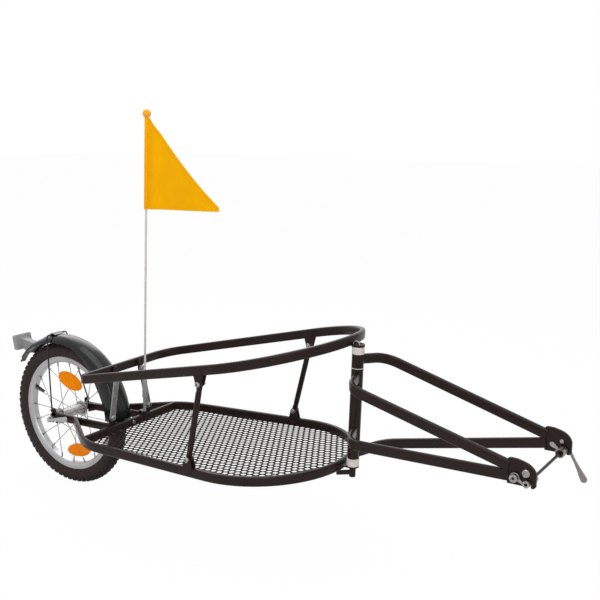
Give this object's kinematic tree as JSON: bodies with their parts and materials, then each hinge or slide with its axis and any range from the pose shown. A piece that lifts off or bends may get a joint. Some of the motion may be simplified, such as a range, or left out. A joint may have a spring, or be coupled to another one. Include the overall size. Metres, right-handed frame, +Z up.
{
  "type": "single wheel touring trailer",
  "caption": "Single wheel touring trailer: a bent tube bed with a perforated floor and cargo hoop, a steering fork that clamps to a bicycle's rear axle, a mudguard, reflectors and a flag.",
  "frame": {"origin": "middle of the hitch axle, where the trailer is held at the bicycle's rear wheel", "axes": "+X forwards along the direction of travel, +Y to the left along the hitch axle, +Z up"},
  "size_m": [1.5527, 0.4357, 1.0006],
  "materials": {
    "black_paint": "semi-gloss black powder coat",
    "zinc_steel": "bright zinc plate",
    "polished_alloy": "polished",
    "tyre_rubber": "moulded block tread",
    "tube_rubber": "smooth",
    "black_plastic": "satin moulded",
    "grey_plastic": "satin moulded",
    "cream_plastic": "turned nylon",
    "orange_lens": "prismatic reflector",
    "red_lens": "prismatic reflector",
    "orange_plastic": "moulded",
    "pole_fibre": "pultruded glass fibre",
    "flag_cloth": "coated nylon"
  },
  "bodies": {
    "frame": {"lower_hoop": "black_paint", "crossbar": "black_paint", "floor_sheet": "black_paint", "cargo_hoop": "black_paint", "chainstay_right": "black_paint", "chainstay_left": "black_paint", "strut_right": "black_paint", "strut_left": "black_paint", "strut_foot_bolt_right": "zinc_steel", "strut_foot_bolt_left": "zinc_steel", "strut_head_bolt_right": "zinc_steel", "strut_head_bolt_left": "zinc_steel", "hoop_bracket_right": "zinc_steel", "hoop_bracket_left": "zinc_steel", "bracket_foot_bolt_right": "zinc_steel", "bracket_foot_bolt_left": "zinc_steel", "bracket_head_bolt_right": "zinc_steel", "bracket_head_bolt_left": "zinc_steel", "head_lug_top": "black_paint", "head_lug_bottom": "black_paint", "pin_keeper": "zinc_steel", "wheel_axle": "zinc_steel", "wheel_skewer": "zinc_steel", "mudguard": "black_plastic", "mudguard_tail": "black_plastic", "mudguard_stay": "zinc_steel", "mudguard_bridge": "zinc_steel", "mudguard_screw": "zinc_steel", "reflector_housing": "grey_plastic", "reflector_lens": "red_lens", "flag_socket": "black_plastic"},
    "flag": {"flag_pole_base": "grey_plastic", "flag_pole": "pole_fibre", "flag_ball": "orange_plastic", "flag_pennant": "flag_cloth"},
    "head_pin": {"head_pin": "black_paint"},
    "yoke": {"head_tube": "black_paint", "bush_top": "cream_plastic", "bush_bottom": "cream_plastic", "fork_upper_right": "black_paint", "fork_upper_left": "black_paint", "fork_lower_right": "black_paint", "fork_lower_left": "black_paint", "hitch_plate_right": "black_paint", "hitch_plate_left": "black_paint", "plate_bolt_right": "zinc_steel", "plate_bolt_left": "zinc_steel"},
    "catch_right": {"hitch_catch_right": "zinc_steel"},
    "catch_left": {"hitch_catch_left": "zinc_steel"},
    "skewer": {"hitch_skewer": "zinc_steel", "hitch_nut_right": "zinc_steel", "hitch_nut_left": "zinc_steel"},
    "hitch_lever": {"hitch_lever": "polished_alloy"},
    "wheel": {"tyre": "tyre_rubber", "inner_tube": "tube_rubber", "rim": "polished_alloy", "hub_and_spokes": "zinc_steel", "spoke_reflector_upper": "orange_lens", "spoke_reflector_lower": "orange_lens"},
    "wheel_lever": {"wheel_lever": "polished_alloy"}
  },
  "joints": [
    {"name": "steer", "type": "hinge", "parent": "frame", "child": "yoke", "pos_m": [-0.42769, 0, 0.041], "axis": [0.0394, 0, 0.9992], "range_deg": [-90, 90]},
    {"name": "hitch_pitch", "type": "hinge", "parent": "yoke", "child": "skewer", "pos_m": [0, 0, 0], "axis": [0, 1, 0], "range_deg": [-25, 25]},
    {"name": "catch_right_turn", "type": "hinge", "parent": "yoke", "child": "catch_right", "pos_m": [-0.0234, -0.104, 0.0085], "axis": [0, 1, 0], "range_deg": [0, 35], "stiffness_Nm_per_rad": 0.05, "springref_deg": -17.19},
    {"name": "catch_left_turn", "type": "hinge", "parent": "yoke", "child": "catch_left", "pos_m": [-0.0234, 0.104, 0.0085], "axis": [0, 1, 0], "range_deg": [0, 35], "stiffness_Nm_per_rad": 0.05, "springref_deg": -17.19},
    {"name": "hitch_lever_turn", "type": "hinge", "parent": "skewer", "child": "hitch_lever", "pos_m": [0, 0.1261, 0], "axis": [0.866, 0, 0.5], "range_deg": [0, 150]},
    {"name": "head_pin_turn", "type": "hinge", "parent": "frame", "child": "head_pin", "pos_m": [-0.43401, 0, -0.119], "axis": [0.0394, 0, 0.9992], "range_deg": [0, 90]},
    {"name": "wheel_spin", "type": "hinge", "parent": "frame", "child": "wheel", "pos_m": [-1.313, 0, -0.129], "axis": [0, 1, 0], "continuous": true},
    {"name": "wheel_lever_turn", "type": "hinge", "parent": "frame", "child": "wheel_lever", "pos_m": [-1.313, -0.0806, -0.129], "axis": [0.1977, 0, -0.9803], "range_deg": [0, 150]},
    {"name": "flag_lift", "type": "slide", "parent": "frame", "child": "flag", "axis": [0.053, 0, 0.9986], "range_m": [0, 0.04]}
  ]
}
